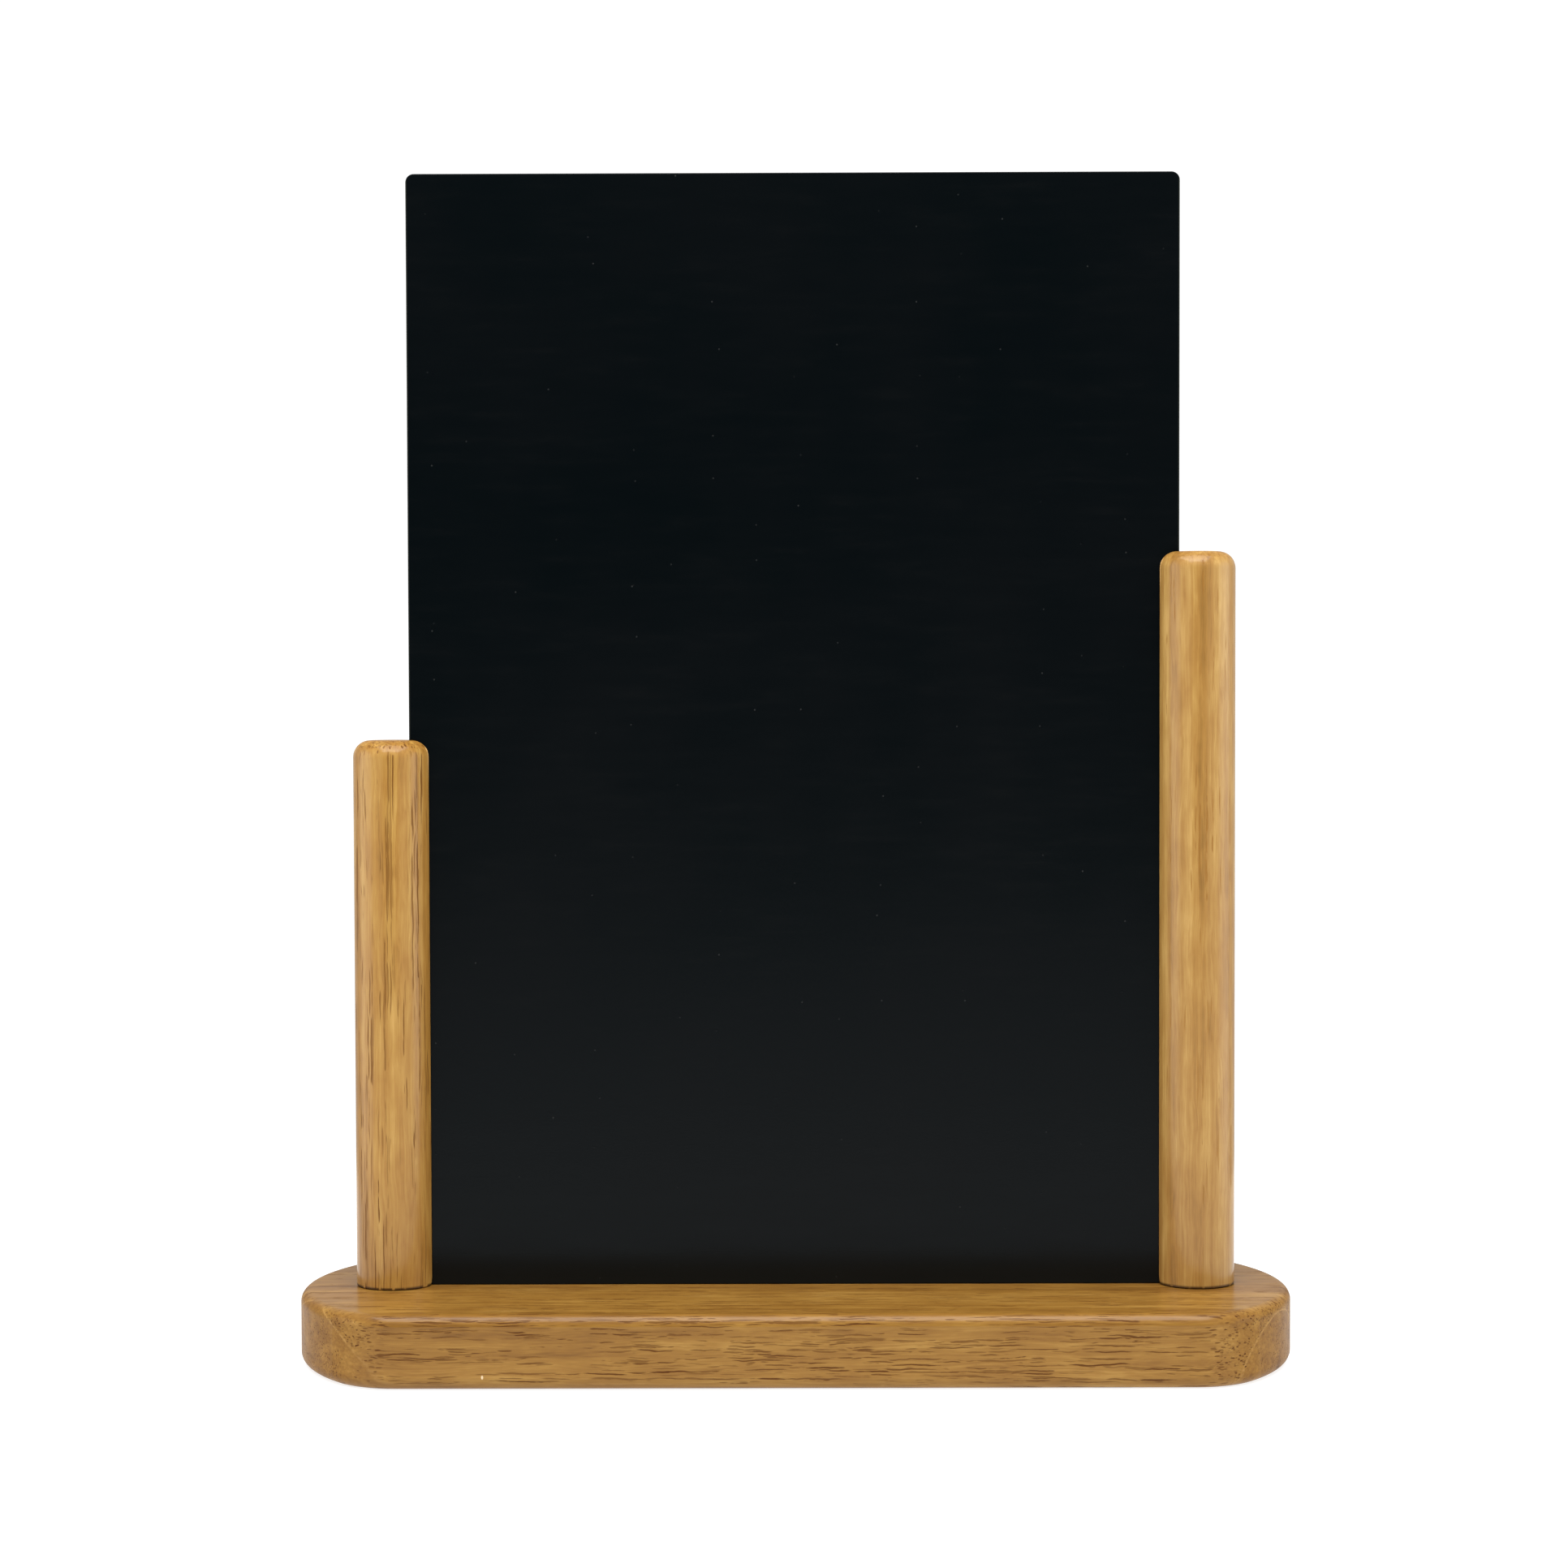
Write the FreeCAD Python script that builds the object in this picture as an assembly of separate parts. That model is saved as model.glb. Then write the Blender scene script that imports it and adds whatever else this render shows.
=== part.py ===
# Table-top menu chalkboard: a lacquered hardwood base carries a short post and a tall post,
# and a loose black writing board stands between them in two vertical slots.
#
# Millimetres. The origin is the centre of the base's underside, +Z is up, -Y is the front,
# the short post stands at -X and the tall post at +X.

import FreeCAD, Part
from math import atan2, cos, pi, sin, sqrt
import os

# ---- driving dimensions -------------------------------------------------------------------

# base slab, with straight long sides and bowed ends
BASE_LENGTH = 270.5
BASE_WIDTH = 90.0
BASE_THICKNESS = 19.8
END_RADIUS = 58.5            # bow of each end, in plan
CORNER_RADIUS = 22.0         # between a bowed end and a long side, in plan
TOP_ROUND = 3.0              # round-over of the upper edge
BOTTOM_ROUND = 3.4           # round-over of the lower edge

# writing board
BOARD_WIDTH = 210.0
BOARD_HEIGHT = 303.0
BOARD_THICKNESS = 3.0
BOARD_CORNER = 2.3
BOARD_EDGE_EASE = 0.3
BOARD_FLOAT = 0.1            # between the board's lower edge and the base

# posts, turned from round stock, each with a slot that faces the other post
POST_DIAMETER = 21.0
SHORT_POST_HEIGHT = 149.5
TALL_POST_HEIGHT = 200.3
POST_TOP_ROUND = 4.6
POST_FOOT_CHAMFER = 0.35
BOARD_EDGE_IN_POST = 5.6     # how far the board's edge reaches into a post
SLOT_SIDE_GAP = 0.3          # between the board's face and the slot's wall
SLOT_FLOOR_GAP = 0.5         # between the board's edge and the slot's floor
SLOT_MOUTH_EASE = 0.4
FOOT_EASE_HEIGHT = 8.0       # the slot's lips draw back a little over this height at the foot
FOOT_EASE_DEPTH = 0.45

# one countersunk wood screw comes up through the base into the end grain of each post
SCREW_LENGTH = 40.0
SCREW_DIAMETER = 4.0
SCREW_CORE_DIAMETER = 2.8
SCREW_PLAIN_LENGTH = 15.0
SCREW_TIP_LENGTH = 4.0
SCREW_PITCH = 1.8
SCREW_HEAD_DIAMETER = 8.0
SCREW_HEAD_RIM = 0.4
RECESS_SPAN = 4.6            # cross recess in the head
RECESS_WIDTH = 1.0
RECESS_DEPTH = 2.2
RECESS_BOTTOM_RADIUS = 0.7
COUNTERBORE_DIAMETER = 9.0
COUNTERBORE_DEPTH = 3.0
CLEARANCE_HOLE_DIAMETER = 4.3
COUNTERSINK_GAP = 0.05
PILOT_HOLE_DIAMETER = 3.0
PILOT_HOLE_DEPTH = 27.0

# ---- worked out ---------------------------------------------------------------------------

POST_RADIUS = POST_DIAMETER / 2
POST_X = BOARD_WIDTH / 2 - BOARD_EDGE_IN_POST + POST_RADIUS
SLOT_WIDTH = BOARD_THICKNESS + 2 * SLOT_SIDE_GAP
SLOT_FLOOR = POST_RADIUS - BOARD_EDGE_IN_POST - SLOT_FLOOR_GAP      # from the post's axis

UP = FreeCAD.Vector(0, 0, 1)
BACKWARD = FreeCAD.Vector(0, 1, 0)


def at(x, y, z=0.0):
    return FreeCAD.Vector(x, y, z)


def arc(centre, radius, angle_from, angle_to):
    """An arc in plan, from one angle to another by way of the angle half way between."""
    angles = (angle_from, (angle_from + angle_to) / 2, angle_to)
    points = [centre + at(radius * cos(a), radius * sin(a)) for a in angles]
    return Part.Arc(*points).toShape()


def edges_at_height(solid, z):
    """The edges that lie wholly in one horizontal plane."""
    tolerance = 1e-4
    return [e for e in solid.Edges
            if abs(e.BoundBox.ZMin - z) < tolerance and abs(e.BoundBox.ZMax - z) < tolerance]


def base_outline():
    """Two straight sides and two bowed ends, tangent all the way round."""
    half_length = BASE_LENGTH / 2
    half_width = BASE_WIDTH / 2
    end_centre = half_length - END_RADIUS
    corner_y = half_width - CORNER_RADIUS
    corner_x = end_centre + sqrt((END_RADIUS - CORNER_RADIUS) ** 2 - corner_y ** 2)
    meet = atan2(corner_y, corner_x - end_centre)      # where the corner arc meets the end arc

    right_end = at(end_centre, 0)
    left_end = at(-end_centre, 0)
    edges = [
        arc(right_end, END_RADIUS, -meet, meet),
        arc(at(corner_x, corner_y), CORNER_RADIUS, meet, pi / 2),
        Part.makeLine(at(corner_x, half_width), at(-corner_x, half_width)),
        arc(at(-corner_x, corner_y), CORNER_RADIUS, pi / 2, pi - meet),
        arc(left_end, END_RADIUS, pi - meet, pi + meet),
        arc(at(-corner_x, -corner_y), CORNER_RADIUS, pi + meet, 3 * pi / 2),
        Part.makeLine(at(-corner_x, -half_width), at(corner_x, -half_width)),
        arc(at(corner_x, -corner_y), CORNER_RADIUS, -pi / 2, -meet),
    ]
    return Part.Wire(Part.__sortEdges__(edges))


def screw_seat():
    """The hole that takes one screw through the base, from the underside up."""
    head_radius = SCREW_HEAD_DIAMETER / 2 + COUNTERSINK_GAP
    hole_radius = CLEARANCE_HOLE_DIAMETER / 2
    cone_bottom = COUNTERBORE_DEPTH + SCREW_HEAD_RIM
    cone_height = head_radius - hole_radius
    counterbore = Part.makeCylinder(COUNTERBORE_DIAMETER / 2, COUNTERBORE_DEPTH)
    rim = Part.makeCylinder(head_radius, SCREW_HEAD_RIM, at(0, 0, COUNTERBORE_DEPTH))
    countersink = Part.makeCone(head_radius, hole_radius, cone_height, at(0, 0, cone_bottom))
    hole = Part.makeCylinder(hole_radius, BASE_THICKNESS)
    return hole.fuse([counterbore, rim, countersink])


def make_base():
    slab = Part.Face(base_outline()).extrude(UP * BASE_THICKNESS)
    slab = slab.makeFillet(TOP_ROUND, edges_at_height(slab, BASE_THICKNESS))
    slab = slab.makeFillet(BOTTOM_ROUND, edges_at_height(slab, 0))
    for x in (-POST_X, POST_X):
        slab = slab.cut(screw_seat().translated(at(x, 0)))
    return slab


def slot_tool(height):
    """The slot in plan, open towards +X, with its mouth eased at 45 degrees."""
    half = SLOT_WIDTH / 2
    outside = POST_RADIUS + 1.0
    mouth = sqrt(POST_RADIUS ** 2 - half ** 2) - SLOT_MOUTH_EASE
    flare = outside - mouth
    points = [
        at(SLOT_FLOOR, -half),
        at(mouth, -half),
        at(outside, -half - flare),
        at(outside, half + flare),
        at(mouth, half),
        at(SLOT_FLOOR, half),
        at(SLOT_FLOOR, -half),
    ]
    return Part.Face(Part.makePolygon(points)).extrude(UP * height)


def foot_ease_tool():
    """What the long hollow curve takes off the slot's lips just above the foot."""
    radius = (FOOT_EASE_HEIGHT ** 2 + FOOT_EASE_DEPTH ** 2) / (2 * FOOT_EASE_DEPTH)
    reach = 1.0
    block = Part.makeBox(
        reach + FOOT_EASE_DEPTH, POST_DIAMETER, FOOT_EASE_HEIGHT,
        at(POST_RADIUS - FOOT_EASE_DEPTH, -POST_RADIUS, 0),
    )
    curve_centre = at(POST_RADIUS - radius, -POST_RADIUS, FOOT_EASE_HEIGHT)
    return block.cut(Part.makeCylinder(radius, POST_DIAMETER, curve_centre, BACKWARD))


def make_post(height):
    """A post on its own axis, standing on z = 0 with its slot facing +X."""
    post = Part.makeCylinder(POST_RADIUS, height)
    post = post.makeFillet(POST_TOP_ROUND, edges_at_height(post, height))
    post = post.makeChamfer(POST_FOOT_CHAMFER, edges_at_height(post, 0))
    post = post.cut(slot_tool(height))
    post = post.cut(foot_ease_tool())
    pilot_radius = PILOT_HOLE_DIAMETER / 2
    pilot = Part.makeCylinder(pilot_radius, PILOT_HOLE_DEPTH)
    pilot_end = Part.makeCone(pilot_radius, 0, pilot_radius, at(0, 0, PILOT_HOLE_DEPTH))
    return post.cut(pilot.fuse(pilot_end))


def make_short_post():
    return make_post(SHORT_POST_HEIGHT).translated(at(-POST_X, 0, BASE_THICKNESS))


def make_tall_post():
    post = make_post(TALL_POST_HEIGHT)
    post.rotate(at(0, 0), UP, 180)
    return post.translated(at(POST_X, 0, BASE_THICKNESS))


def make_chalkboard():
    board = Part.makeBox(
        BOARD_WIDTH, BOARD_THICKNESS, BOARD_HEIGHT,
        at(-BOARD_WIDTH / 2, -BOARD_THICKNESS / 2, BASE_THICKNESS + BOARD_FLOAT),
    )
    corners = [e for e in board.Edges if e.BoundBox.YLength > BOARD_THICKNESS / 2]
    board = board.makeFillet(BOARD_CORNER, corners)
    face_edges = [e for e in board.Edges if e.BoundBox.YLength < BOARD_THICKNESS / 2]
    return board.makeFillet(BOARD_EDGE_EASE, face_edges)


def screw_profile():
    """Half section of the screw along its axis, head down at z = 0, thread as ridges."""
    core = SCREW_CORE_DIAMETER / 2
    shank = SCREW_DIAMETER / 2
    head = SCREW_HEAD_DIAMETER / 2
    tip_start = SCREW_LENGTH - SCREW_TIP_LENGTH
    points = [
        (0, 0),
        (head, 0),
        (head, SCREW_HEAD_RIM),
        (shank, SCREW_HEAD_RIM + head - shank),
        (shank, SCREW_PLAIN_LENGTH),
        (core, SCREW_PLAIN_LENGTH + shank - core),
    ]
    ridge_half = SCREW_PITCH / 4
    ridges = int((tip_start - points[-1][1]) / SCREW_PITCH)
    first = points[-1][1] + SCREW_PITCH / 2
    for index in range(ridges):
        crest = first + index * SCREW_PITCH
        points += [(core, crest - ridge_half), (shank, crest), (core, crest + ridge_half)]
    points += [(core, tip_start), (0, SCREW_LENGTH), (0, 0)]
    return Part.makePolygon([at(radius, 0, z) for radius, z in points])


def cross_recess():
    """A tapered cross in the head, cut up from z = 0."""
    bar_length = RECESS_SPAN
    bar = Part.makeBox(
        bar_length, RECESS_WIDTH, RECESS_DEPTH, at(-bar_length / 2, -RECESS_WIDTH / 2)
    )
    crossing = Part.makeBox(
        RECESS_WIDTH, bar_length, RECESS_DEPTH, at(-RECESS_WIDTH / 2, -bar_length / 2)
    )
    taper = Part.makeCone(bar_length / 2, RECESS_BOTTOM_RADIUS, RECESS_DEPTH)
    return bar.fuse(crossing).common(taper)


def make_screw(x):
    """One screw with its head sunk in the counterbore under the post at x."""
    screw = Part.Face(screw_profile()).revolve(at(0, 0), UP, 360)
    screw = Part.Solid(screw).cut(cross_recess())
    return screw.translated(at(x, 0, COUNTERBORE_DEPTH))


PIECES = {
    "base": make_base,
    "short_post": make_short_post,
    "tall_post": make_tall_post,
    "chalkboard": make_chalkboard,
    "short_post_screw": lambda: make_screw(-POST_X),
    "tall_post_screw": lambda: make_screw(POST_X),
}

os.makedirs("parts", exist_ok=True)
for name, make in PIECES.items():
    shape = make().removeSplitter()
    shape.exportStep(f"parts/{name}.step")
    print(name, shape.isValid(), len(shape.Solids), round(shape.Volume, 1), shape.BoundBox)
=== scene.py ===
import math

import bpy
from mathutils import Matrix, Vector


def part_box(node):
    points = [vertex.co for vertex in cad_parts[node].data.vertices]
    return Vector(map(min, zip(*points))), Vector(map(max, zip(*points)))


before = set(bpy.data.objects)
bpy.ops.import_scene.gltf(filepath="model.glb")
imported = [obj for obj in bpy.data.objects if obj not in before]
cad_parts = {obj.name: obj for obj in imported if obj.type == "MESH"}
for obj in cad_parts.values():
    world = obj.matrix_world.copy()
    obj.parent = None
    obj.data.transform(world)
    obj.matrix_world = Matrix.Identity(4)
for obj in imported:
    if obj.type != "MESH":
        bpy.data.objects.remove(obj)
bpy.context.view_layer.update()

# A table-top menu board. Every visible piece is a CAD node: this script gives the nodes their
# materials, and adds the floor, the light and the camera. The materials work in millimetres.

MM = 0.001
PER_METRE = 1000.0           # millimetres
PHOTO_SIDE = 1932            # the frame's width and height, in pixels
SENSOR = 36.0                # the camera's sensor, in millimetres

# ---- camera -----------------------------------------------------------------------------------

CAMERA_PLACE = Vector((1.37, -900.0, 189.8)) * MM
CAMERA_YAW = math.radians(-0.261)
CAMERA_PITCH = math.radians(2.085)       # downwards
CAMERA_ROLL = math.radians(-0.165)
FOCAL_PIXELS = 4060.95

# ---- where things are -------------------------------------------------------------------------

BASE_LOW, BASE_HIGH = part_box("base")
BOARD_LOW, BOARD_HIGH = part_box("chalkboard")


def centre_of(node):
    """The centre of a node's box, in metres."""
    low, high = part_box(node)
    return (low + high) / 2


def linear(r, g, b):
    """A linear colour with alpha from 8-bit sRGB values."""
    def decode(value):
        value /= 255
        return value / 12.92 if value <= 0.04045 else ((value + 0.055) / 1.055) ** 2.4
    return (decode(r), decode(g), decode(b), 1.0)


# ---- node trees -------------------------------------------------------------------------------

class Tree:
    """A node tree, with short calls that add one node and return its output socket."""

    def __init__(self, owner):
        owner.use_nodes = True
        self.tree = owner.node_tree
        self.tree.nodes.clear()

    def add(self, kind, inputs=None, output=0, **settings):
        """Adds a node. Returns one of its outputs, or the node itself if output is None."""
        node = self.tree.nodes.new(kind)
        for name, value in settings.items():
            setattr(node, name, value)
        for key, value in (inputs or {}).items():
            self.feed(node.inputs[key], value)
        return node if output is None else node.outputs[output]

    def feed(self, socket, value):
        if isinstance(value, bpy.types.NodeSocket):
            self.tree.links.new(value, socket)
        elif value is not None:
            socket.default_value = value

    def math(self, operation, a, b=None, c=None):
        return self.add("ShaderNodeMath", {0: a, 1: b, 2: c}, operation=operation)

    def vector(self, operation, a, b=None, output=0):
        return self.add("ShaderNodeVectorMath", {0: a, 1: b}, output, operation=operation)

    def split(self, vector):
        node = self.add("ShaderNodeSeparateXYZ", {0: vector}, None)
        return node.outputs[0], node.outputs[1], node.outputs[2]

    def join(self, x, y, z):
        return self.add("ShaderNodeCombineXYZ", {0: x, 1: y, 2: z})

    def step(self, value, low, high, to_low=0.0, to_high=1.0):
        """A smooth step: to_low where value is at low, to_high where it is at high."""
        inputs = {"Value": value, "From Min": low, "From Max": high,
                  "To Min": to_low, "To Max": to_high}
        return self.add("ShaderNodeMapRange", inputs, interpolation_type="SMOOTHSTEP")

    def noise(self, vector, scale=1.0, detail=2.0, roughness=0.5, output="Fac"):
        inputs = {"Vector": vector, "Scale": scale, "Detail": detail, "Roughness": roughness}
        return self.add("ShaderNodeTexNoise", inputs, output)

    def cells(self, vector, scale=1.0, dimensions="3D"):
        """Scattered points: the distance to the nearest, and two random values that it has."""
        node = self.add(
            "ShaderNodeTexVoronoi", {"Vector": vector, "Scale": scale, "Randomness": 1.0}, None,
            voronoi_dimensions=dimensions, feature="F1",
        )
        first, second, _ = self.split(node.outputs["Color"])
        return node.outputs["Distance"], first, second

    def mix(self, factor, a, b, blend="MIX"):
        node = self.add("ShaderNodeMix", None, None, data_type="RGBA", blend_type=blend)
        self.feed(node.inputs["Factor"], factor)
        self.feed(node.inputs[6], a)
        self.feed(node.inputs[7], b)
        return node.outputs[2]

    def ramp(self, value, stops):
        """Stops are (place, colour) or (place, grey level)."""
        node = self.add("ShaderNodeValToRGB", {"Fac": value}, None)
        elements = node.color_ramp.elements
        while len(elements) < len(stops):
            elements.new(0.5)
        for element, (place, colour) in zip(elements, stops):
            element.position = place
            element.color = colour if hasattr(colour, "__len__") else (colour, colour, colour, 1)
        return node.outputs["Color"]

    def bump(self, height, distance, strength):
        """Distance is in metres."""
        inputs = {"Height": height, "Distance": distance, "Strength": strength}
        return self.add("ShaderNodeBump", inputs)

    def millimetres(self):
        """The point on the object in the row frame, in millimetres."""
        place = self.add("ShaderNodeTexCoord", output="Object")
        inputs = {0: place, "Scale": PER_METRE}
        return self.add("ShaderNodeVectorMath", inputs, operation="SCALE")

    def surface(self, inputs):
        """Ends a material with a Principled shader."""
        shader = self.add("ShaderNodeBsdfPrincipled", inputs)
        self.add("ShaderNodeOutputMaterial", {"Surface": shader}, None)


# ---- hardwood ---------------------------------------------------------------------------------

def hardwood(name, *, along, origin, heart, ring_width, first_ring, ground, pore_colour,
             pore_share, seed, line_colour, lacquer, figure, marks, taper=0.0,
             line_strength=0.7, end_stain=0.6, reach=1.0, gloss=0.17):
    """Lacquered open-pored wood, solid all through: dashes along the grain, dots on its ends.

    along: the grain's axis, "X" or "Z".
    origin: taken off the place before anything else.
    heart: the tree's heart across the grain, from the origin.
    ring_width, first_ring, taper: a ring line's radius is first_ring, and changes by taper for
        each millimetre along the grain.
    ground: the wood's colours, from dark to light.
    pore_share: how many of the places for a pore have one.
    line_colour, line_strength: the pale line between two years.
    end_stain: how much darker the end grain is.
    lacquer, gloss: the clear coat's weight on long grain, and its roughness.
    figure: how strongly the fibres show.
    reach: how long the pores are, against those of the base.
    marks: a function that adds marks to the colour, and on the posts also a painted highlight.
    """
    material = bpy.data.materials.new(name)
    t = Tree(material)
    place = t.vector("SUBTRACT", t.millimetres(), origin)
    x, y, z = t.split(place)
    wood = t.join(x, y, z) if along == "X" else t.join(z, x, y)
    shifted = t.vector("ADD", wood, (seed * 31.7, seed * 17.3, seed * 23.9))

    def stretched(vector, length, width):
        """The place in a pattern that is this long along the grain, and this wide across it."""
        return t.vector("DIVIDE", vector, (length, width, width))

    def wander(length, width, sway):
        """A drift across the grain."""
        drift = t.noise(stretched(shifted, length, width), output="Color")
        drift = t.vector("SUBTRACT", drift, (0.5, 0.5, 0.5))
        return t.vector("MULTIPLY", drift, (0.0, sway, sway))

    def push(level, pattern, strength):
        """Level, moved up and down by a pattern that lies around 0.5."""
        return t.math("MULTIPLY_ADD", t.math("SUBTRACT", pattern, 0.5), strength, level)

    # 1 on end grain, 0 on long grain
    normal = t.add("ShaderNodeTexCoord", output="Normal")
    nx, _, nz = t.split(normal)
    endwise = t.step(t.math("ABSOLUTE", nx if along == "X" else nz), 0.25, 0.8)

    # growth rings: the season runs from 0 to 1 in each year
    lengthwise, across, deep = t.split(t.vector("ADD", wood, wander(90.0, 30.0, 3.0)))
    from_heart = t.join(0.0, t.math("SUBTRACT", across, heart[0]),
                        t.math("SUBTRACT", deep, heart[1]))
    radius = t.vector("LENGTH", from_heart, output="Value")
    radius = t.math("MULTIPLY_ADD", lengthwise, -taper, radius)
    season = t.math("FRACT", t.math("DIVIDE", t.math("SUBTRACT", radius, first_ring), ring_width))
    quarter = 0.25 / ring_width      # a quarter of a millimetre, in years
    ring_line = t.ramp(season, [(0.0, 0.5), (quarter, 0.0), (1.0 - 2 * quarter, 0.0),
                                (1.0 - quarter, 1.0), (1.0, 1.0)])

    # colour from the season of growth, broad streaks, wavy fibres and soft patches
    tone = t.ramp(season, [(0.0, 0.56), (0.2, 0.55), (0.3, 0.38), (0.5, 0.47), (1.0, 0.44)])
    wavy = t.vector("ADD", shifted, wander(22.0, 7.0, 3.0))
    broad = t.noise(stretched(shifted, 150.0, 3.5), roughness=0.55)
    fibre = t.noise(stretched(wavy, 34.0, 0.55), roughness=0.6)
    patch = t.noise(stretched(shifted, 16.0, 5.0), detail=3.0, roughness=0.6)
    level = push(push(push(tone, broad, 0.8), fibre, 0.9 * figure), patch, 0.7)
    colour = t.ramp(level, ground)

    # the line between two years is broken, and four times as strong on the end grain
    speckle = t.noise(stretched(shifted, 4.0, 0.8), roughness=0.6)
    ring_line = t.math("MULTIPLY", ring_line, t.step(speckle, 0.3, 0.6))
    ring_line = t.math("MULTIPLY", ring_line, t.math("MULTIPLY_ADD", endwise, 0.75, 0.25))
    colour = t.mix(t.math("MULTIPLY", ring_line, line_strength), colour, line_colour)

    # pores: wavy tapered dashes in chains, most of them in the first part of each year
    part_reach = reach ** 0.5
    crooked = t.vector("ADD", wood, wander(11.0 * part_reach, 5.0, 1.5))
    crooked = t.vector("ADD", crooked, wander(3.5 * part_reach, 2.0, 0.5))

    def pores(length, width, size, soft, offset, density):
        """One size of pore: cells this long and wide, each with a pore if its chance is low."""
        place_in_cells = stretched(crooked, length, width * reach ** 0.15)
        distance, chance, shade = t.cells(t.vector("ADD", place_in_cells, offset))
        there = t.math("LESS_THAN", chance, density)
        shape = t.step(distance, size - soft, size + soft, 1.0, 0.0)
        depth = t.math("MULTIPLY_ADD", shade, 0.6, 0.4)
        return t.math("MULTIPLY", t.math("MULTIPLY", shape, there), depth)

    chains = t.noise(stretched(shifted, 60.0, 2.6))
    chains = t.step(chains, 0.4, 0.6, 0.15, 1.0)
    early = t.ramp(season, [(0.0, 1.0), (0.25, 0.95), (0.5, 0.7), (0.8, 0.3), (1.0, 0.12)])
    first = t.ramp(season, [(0.0, 1.0), (0.22, 0.95), (0.36, 0.5), (0.7, 0.2), (1.0, 0.05)])
    share = t.math("MULTIPLY", chains, pore_share)
    early_share = t.math("MULTIPLY", share, early)
    first_share = t.math("MULTIPLY", share, first)
    fine = pores(14.0 * part_reach, 0.62, 0.29, 0.06, (seed, 3.1, 7.7), early_share)
    medium = pores(26.0 * reach, 0.68, 0.27, 0.05, (seed, 5.9, 1.3), early_share)
    large = pores(38.0 * reach, 0.88, 0.25, 0.05, (seed, 11.3, 2.9), first_share)
    pore = t.math("MAXIMUM", t.math("MULTIPLY", fine, 0.75), t.math("MAXIMUM", medium, large))
    colour = t.mix(t.math("MULTIPLY", pore, 0.9), colour, pore_colour)

    # end grain takes more stain and shows light flecks between the pores
    fleck = t.noise(stretched(shifted, 2.5, 0.7), roughness=0.6)
    fleck = t.ramp(fleck, [(0.36, linear(192, 174, 144)), (0.5, linear(232, 222, 202)),
                           (0.66, linear(255, 248, 228))])
    colour = t.mix(t.math("MULTIPLY", endwise, end_stain), colour,
                   t.mix(1.0, colour, fleck, "MULTIPLY"))
    colour = marks(t, place, colour)

    # surface: pores sink the lacquer a little, which itself lies in a faint orange peel
    peel = t.noise(place, 0.45)
    fibre_rise = t.math("MULTIPLY_ADD", fibre, 0.12, t.math("MULTIPLY", peel, 0.25))
    height = t.math("SUBTRACT", fibre_rise, pore)
    rub = t.noise(place, 0.06, 3.0, 0.6)

    # pores and end grain drink the lacquer
    out_of_pores = t.math("MULTIPLY_ADD", pore, -0.8, 1.0)
    on_grain = t.math("MULTIPLY_ADD", endwise, -0.75 * lacquer, lacquer)
    t.surface({
        "Base Color": colour,
        "Roughness": t.math("MULTIPLY_ADD", rub, 0.16, t.math("MULTIPLY_ADD", pore, 0.2, 0.38)),
        "Specular IOR Level": 0.06,
        "Normal": t.bump(height, 0.00012, 0.7),
        "Coat Weight": t.math("MULTIPLY", out_of_pores, on_grain),
        "Coat Roughness": gloss,
        "Coat IOR": 1.5,
        "Coat Normal": t.bump(height, 0.00003, 0.5),
    })
    return material


def base_marks(t, place, colour):
    """One small chip through the stain, low on the front."""
    centre, half_lengths, softness = (-81.9, -45.0, 3.6), (0.28, 2.0, 0.5), 0.35
    away = t.vector("DIVIDE", t.vector("SUBTRACT", place, centre), half_lengths)
    away = t.vector("LENGTH", away, output="Value")
    chip = t.step(away, 1.0 - softness, 1.0 + softness, 1.0, 0.0)
    return t.mix(t.math("MULTIPLY", chip, 0.7), colour, linear(236, 214, 176))


def post_marks_and_lip_highlight(towards_board, broken, top):
    """Painted highlight on the slot's lips at its upper end, and a dark line round the foot.

    towards_board: 1 if the board is on the +X side, or -1. broken: from 0 for an even line to 1
    for one with gaps. top: the post's top, in millimetres.
    """
    foot_height = BASE_HIGH.z * PER_METRE

    def add_marks_and_lip_highlight(t, place, colour):
        x, y, z = t.split(place)
        # painted highlight: the slot's lips are made paler near the top, where they would catch
        # the light
        beside_slot = t.step(t.math("ABSOLUTE", y), 2.3, 3.1, 1.0, 0.0)
        outward = t.step(t.math("MULTIPLY", x, towards_board), 9.2, 9.8)
        lip_highlight = t.math("MULTIPLY", beside_slot, outward)
        lip_highlight = t.math("MULTIPLY", lip_highlight, t.step(z, top - 12.0, top - 5.0))
        colour = t.mix(t.math("MULTIPLY", lip_highlight, 0.7), colour, linear(222, 176, 112))
        foot = t.step(z, foot_height + 0.45, foot_height + 1.1, 1.0, 0.0)
        gaps = t.noise(t.vector("MULTIPLY", place, (0.45, 0.45, 0.0)), detail=1.0)
        gaps = t.step(gaps, 0.36, 0.46, 1.0 - broken, 1.0)
        foot_line = t.math("MULTIPLY", t.math("MULTIPLY", foot, gaps), 0.9)
        return t.mix(foot_line, colour, linear(52, 30, 12))

    return add_marks_and_lip_highlight


BASE_GROUND = [(0.0, linear(97, 62, 22)), (0.4, linear(130, 91, 36)),
               (0.6, linear(141, 102, 43)), (1.0, linear(169, 131, 66))]
SHORT_POST_GROUND = [(0.0, linear(118, 81, 31)), (0.4, linear(155, 112, 50)),
                     (0.6, linear(167, 127, 62)), (1.0, linear(196, 158, 90))]
TALL_POST_GROUND = [(0.0, linear(118, 83, 36)), (0.4, linear(155, 114, 56)),
                    (0.6, linear(168, 130, 69)), (1.0, linear(198, 162, 98))]
POST_LINE = linear(196, 156, 88)
POST_LACQUER = 0.68

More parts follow.
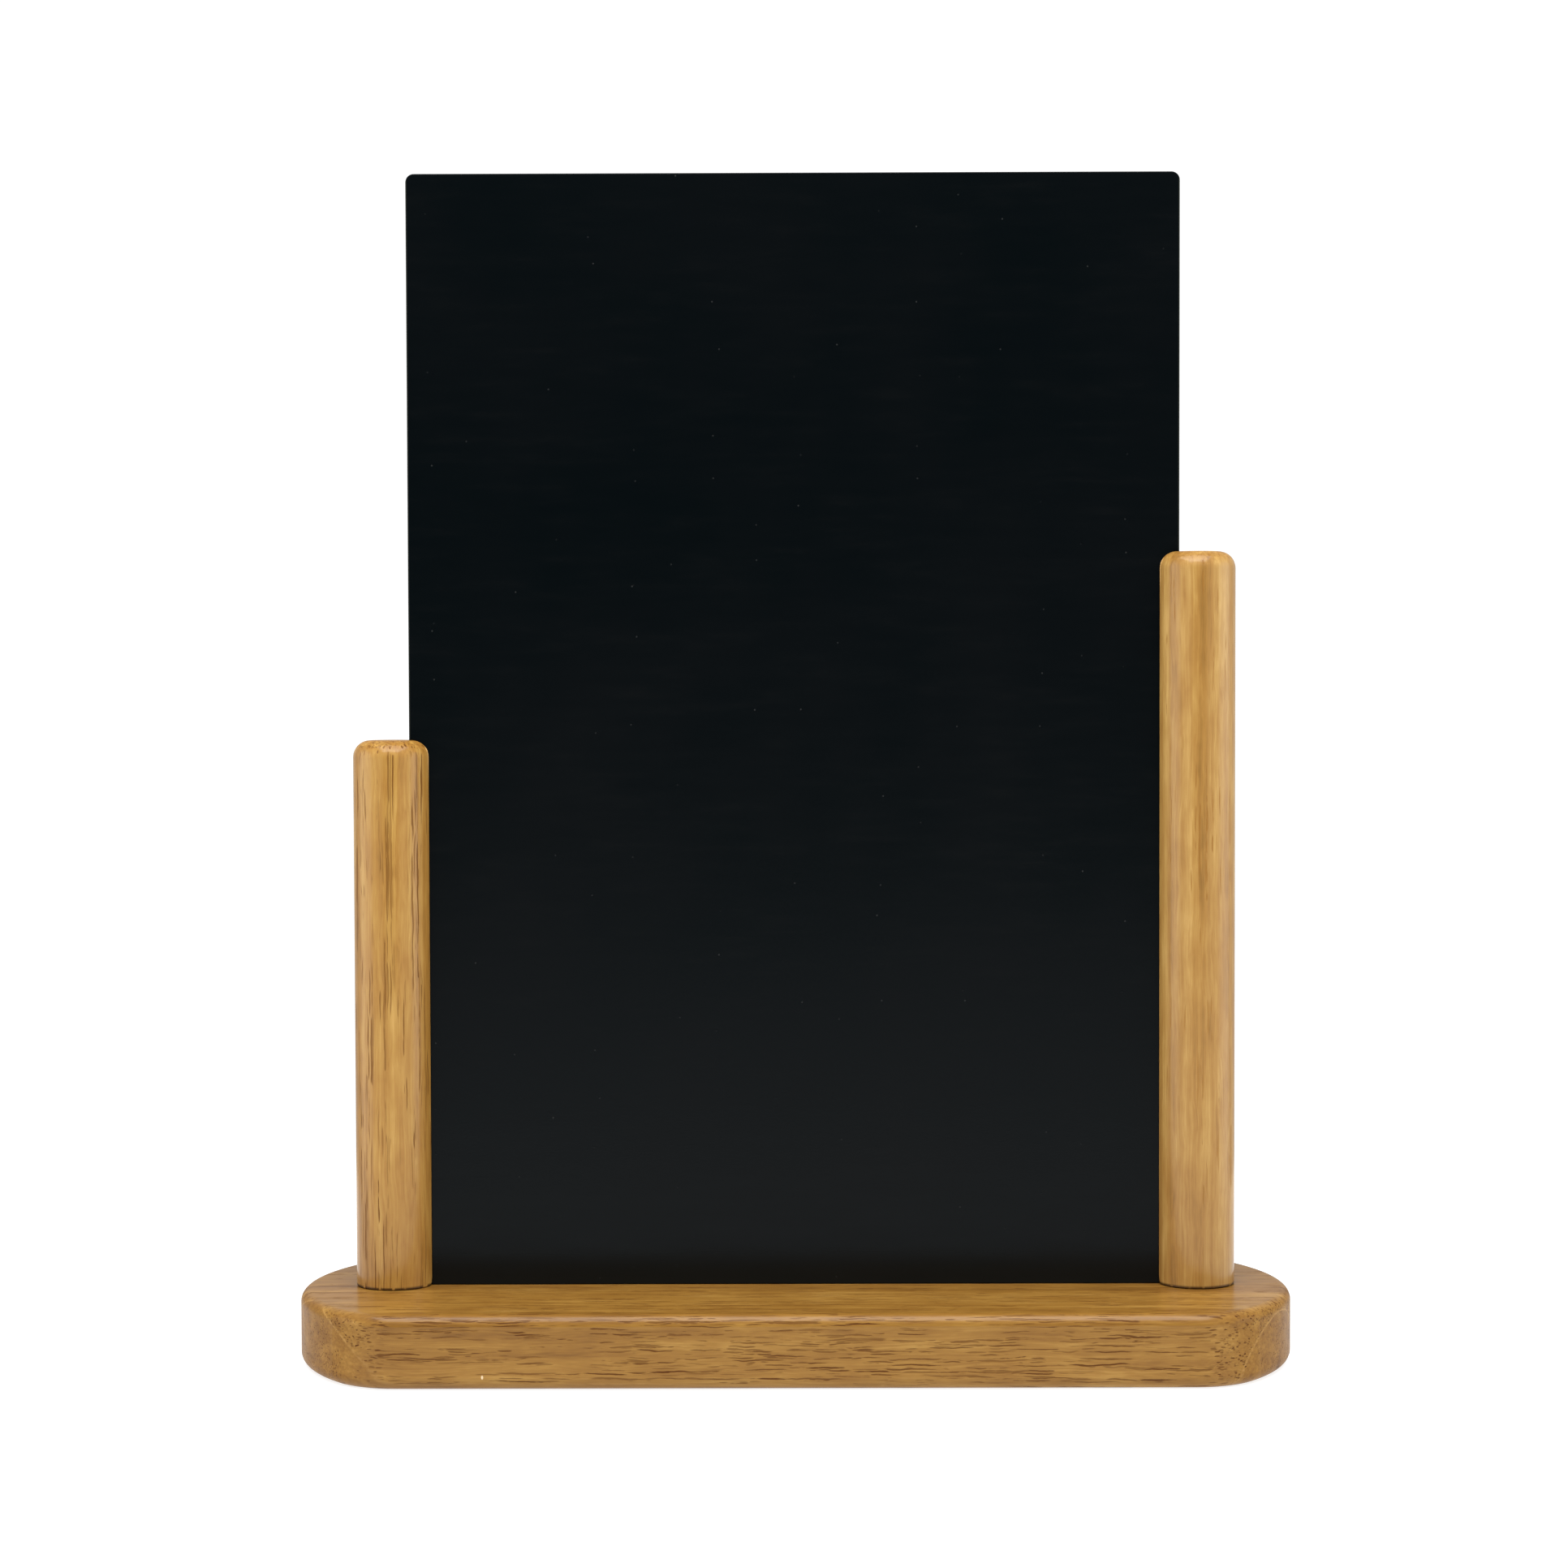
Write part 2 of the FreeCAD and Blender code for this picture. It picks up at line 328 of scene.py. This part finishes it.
base_wood = hardwood(
    "hardwood_base", along="X", origin=(0, 0, 0),
    heart=(-25.0, 0.0), ring_width=22.0, first_ring=18.5, taper=-0.0135,
    ground=BASE_GROUND, line_colour=linear(176, 138, 78), end_stain=0.35, figure=0.7,
    pore_colour=linear(72, 34, 8), pore_share=1.2, seed=1.0,
    lacquer=0.4, gloss=0.19, marks=base_marks,
)
short_wood = hardwood(
    "hardwood_short_post", along="Z", origin=(centre_of("short_post").x * PER_METRE, 0, 0),
    heart=(28.0, 40.0), ring_width=7.0, first_ring=42.0,
    ground=SHORT_POST_GROUND, line_colour=POST_LINE, line_strength=0.25, figure=0.6,
    pore_colour=linear(100, 60, 20), pore_share=1.5, seed=9.0, reach=3.0,
    lacquer=POST_LACQUER, marks=post_marks_and_lip_highlight(1, 1.0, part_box("short_post")[1].z * PER_METRE),
)
tall_wood = hardwood(
    "hardwood_tall_post", along="Z", origin=(centre_of("tall_post").x * PER_METRE, 0, 0),
    heart=(-46.0, 30.0), ring_width=9.0, first_ring=50.0,
    ground=TALL_POST_GROUND, line_colour=POST_LINE, line_strength=0.2, figure=0.6,
    pore_colour=linear(140, 96, 40), pore_share=0.35, seed=5.0, reach=1.8,
    lacquer=POST_LACQUER, marks=post_marks_and_lip_highlight(-1, 0.4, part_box("tall_post")[1].z * PER_METRE),
)


# ---- writing board ----------------------------------------------------------------------------

def black_board():
    """Smooth black board: a low sheen, faint wiping streaks, dust, a few specks, painted edge
    highlights.
    """
    edge_highlight_width = 0.35        # of the painted highlight along the side edges
    dusty_height = 12.0
    face_offset = 500.0      # between the front's and the back's place in the pattern of specks
    bottom = BOARD_LOW.z * PER_METRE
    half_width = BOARD_HIGH.x * PER_METRE

    material = bpy.data.materials.new("black_board")
    t = Tree(material)
    place = t.millimetres()
    x, y, z = t.split(place)

    cloud = t.noise(place, 0.012, 3.0, 0.6)
    wipe = t.noise(t.vector("MULTIPLY", place, (0.05, 1.0, 0.35)), detail=3.0, roughness=0.65)
    grain = t.noise(place, 2.2, 1.0)
    colour = t.mix(t.step(cloud, 0.3, 0.7), linear(3, 7, 9), linear(5, 8, 10))
    colour = t.mix(t.step(wipe, 0.52, 0.78, 0.0, 0.12), colour, linear(17, 18, 18))

    # specks lie on the faces, in other places at the front than at the back
    side = t.math("MULTIPLY", t.math("SIGN", y), face_offset)
    distance, chance, shade = t.cells(t.join(t.math("ADD", x, side), z, 0.0), 0.09, "2D")
    speck = t.math("MULTIPLY", t.step(distance, 0.008, 0.026, 1.0, 0.0),
                   t.math("LESS_THAN", chance, 0.2))
    colour = t.mix(t.math("MULTIPLY", speck, t.math("MULTIPLY_ADD", shade, 0.11, 0.01)), colour,
                   linear(120, 122, 120))

    dust = t.step(z, bottom + dusty_height, bottom, 0.0, 0.6)
    colour = t.mix(dust, colour, linear(22, 23, 21))

    # painted highlight: the side edges are made paler, as if they caught the light
    edge_highlight = t.math("GREATER_THAN", t.math("ABSOLUTE", x), half_width - edge_highlight_width)
    colour = t.mix(t.math("MULTIPLY", edge_highlight, 0.6), colour, linear(46, 48, 42))

    roughness = t.math("MULTIPLY_ADD", cloud, 0.10, t.math("MULTIPLY_ADD", wipe, 0.08, 0.12))
    height = t.math("MULTIPLY_ADD", speck, 1.5, grain)
    t.surface({
        "Base Color": colour,
        "Roughness": roughness,
        "Specular IOR Level": 0.105,
        "Normal": t.bump(height, 0.00003, 0.25),
    })
    return material


# ---- screws -----------------------------------------------------------------------------------

def screw_steel():
    """Zinc-plated steel: a patchy warm plating with turning marks."""
    material = bpy.data.materials.new("screw_steel")
    t = Tree(material)
    place = t.millimetres()
    patch = t.noise(place, 0.7, 3.0, 0.6)
    marks = t.noise(t.vector("MULTIPLY", place, (1.0, 1.0, 14.0)))
    colour = t.ramp(patch, [(0.3, linear(196, 188, 160)), (0.55, linear(214, 208, 186)),
                            (0.75, linear(226, 214, 178))])
    roughness = t.math("MULTIPLY_ADD", patch, 0.2, t.math("MULTIPLY_ADD", marks, 0.15, 0.18))
    t.surface({
        "Base Color": colour,
        "Metallic": 1.0,
        "Roughness": roughness,
        "Normal": t.bump(marks, 0.00003, 0.5),
    })
    return material


steel = screw_steel()
finishes = {
    "base": base_wood,
    "short_post": short_wood,
    "tall_post": tall_wood,
    "chalkboard": black_board(),
    "short_post_screw": steel,
    "tall_post_screw": steel,
}
for node, material in finishes.items():
    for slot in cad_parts[node].material_slots:
        slot.material = material


# ---- floor, light and camera ------------------------------------------------------------------

def make_floor():
    """A round white table top, which glows so that it shows no shadow, as in the photo."""
    radius = 0.4
    sides = 96
    clearance = 0.0001       # below the base, so that the two don't coincide

    rim = []
    for index in range(sides):
        angle = 2 * math.pi * index / sides
        rim.append((radius * math.cos(angle), radius * math.sin(angle), 0.0))
    mesh = bpy.data.meshes.new("floor")
    mesh.from_pydata(rim, [], [list(range(sides))])
    floor = bpy.data.objects.new("floor", mesh)
    floor.location.z = BASE_LOW.z - clearance
    bpy.context.scene.collection.objects.link(floor)

    material = bpy.data.materials.new("floor")
    Tree(material).surface({
        "Base Color": (0.35, 0.35, 0.35, 1),
        "Roughness": 0.9,
        "Specular IOR Level": 0.1,
        "Emission Color": (1, 1, 1, 1),
        "Emission Strength": 0.8,
    })
    mesh.materials.append(material)


def make_world():
    """A studio all round, a little brighter to the right. The camera itself sees plain white.

    Two screens stand left and right of the camera, and are brightest at their far ends. The gap
    between them is dark, with a bright strip below and a soft one above. Behind the object is an
    even wall.
    """
    screen_level, screen_end_level = 0.82, 2.4
    gap_level, low_strip_level, high_strip_level = 0.022, 1.4, 0.7
    wall_level = 0.6
    seen_level = 1.1
    extra_to_the_right = 0.06
    gap_middle = 0.03

    world = bpy.data.worlds.new("studio")
    bpy.context.scene.world = world
    t = Tree(world)
    x, y, z = t.split(t.add("ShaderNodeTexCoord", output="Generated"))
    aside = t.math("ABSOLUTE", t.math("SUBTRACT", x, gap_middle))
    screen = t.math("MULTIPLY", t.step(aside, 0.3, 0.5),
                    t.step(aside, 0.8, 0.95, screen_level, screen_end_level))
    gap = t.math("ADD", t.step(z, -0.12, -0.07, low_strip_level, gap_level),
                 t.step(z, 0.14, 0.34, 0.0, high_strip_level))
    level = t.math("MAXIMUM", screen, gap)
    in_front = t.step(y, 0.5, 0.05)
    light = t.math("MULTIPLY_ADD", in_front, t.math("SUBTRACT", level, wall_level), wall_level)
    light = t.math("MULTIPLY", light, t.math("MULTIPLY_ADD", x, extra_to_the_right, 1.0))
    seen = t.add("ShaderNodeLightPath", output="Is Camera Ray")
    strength = t.math("MAXIMUM", t.math("MULTIPLY", seen, seen_level), light)
    background = t.add("ShaderNodeBackground", {"Color": (1, 1, 1, 1), "Strength": strength})
    t.add("ShaderNodeOutputWorld", {"Surface": background}, None)


def make_top_light():
    """A soft box above and in front, which looks straight down."""
    light = bpy.data.lights.new("top_light", "AREA")
    light.shape = "SQUARE"
    light.size = 1.5
    light.energy = 43.0
    lamp = bpy.data.objects.new("top_light", light)
    lamp.location = (0.0, -0.7, 1.5)
    bpy.context.scene.collection.objects.link(lamp)


def make_camera():
    """The photograph's camera, from its fitted place, angles and focal length."""
    yaw, pitch, roll = CAMERA_YAW, CAMERA_PITCH, CAMERA_ROLL
    ahead = Vector((math.sin(yaw) * math.cos(pitch), math.cos(yaw) * math.cos(pitch),
                    -math.sin(pitch)))
    level = Vector((math.cos(yaw), -math.sin(yaw), 0.0))
    upright = level.cross(ahead)
    right = level * math.cos(roll) + upright * math.sin(roll)
    up = upright * math.cos(roll) - level * math.sin(roll)
    data = bpy.data.cameras.new("camera")
    data.sensor_width = SENSOR
    data.lens = SENSOR * FOCAL_PIXELS / PHOTO_SIDE
    data.clip_start = 0.01
    data.dof.use_dof = False
    camera = bpy.data.objects.new("camera", data)
    turn = Matrix((right, up, -ahead)).transposed()
    camera.matrix_world = Matrix.Translation(CAMERA_PLACE) @ turn.to_4x4()
    bpy.context.scene.collection.objects.link(camera)
    bpy.context.scene.camera = camera


make_floor()
make_world()
make_top_light()
make_camera()
bpy.context.scene.view_settings.view_transform = "Standard"
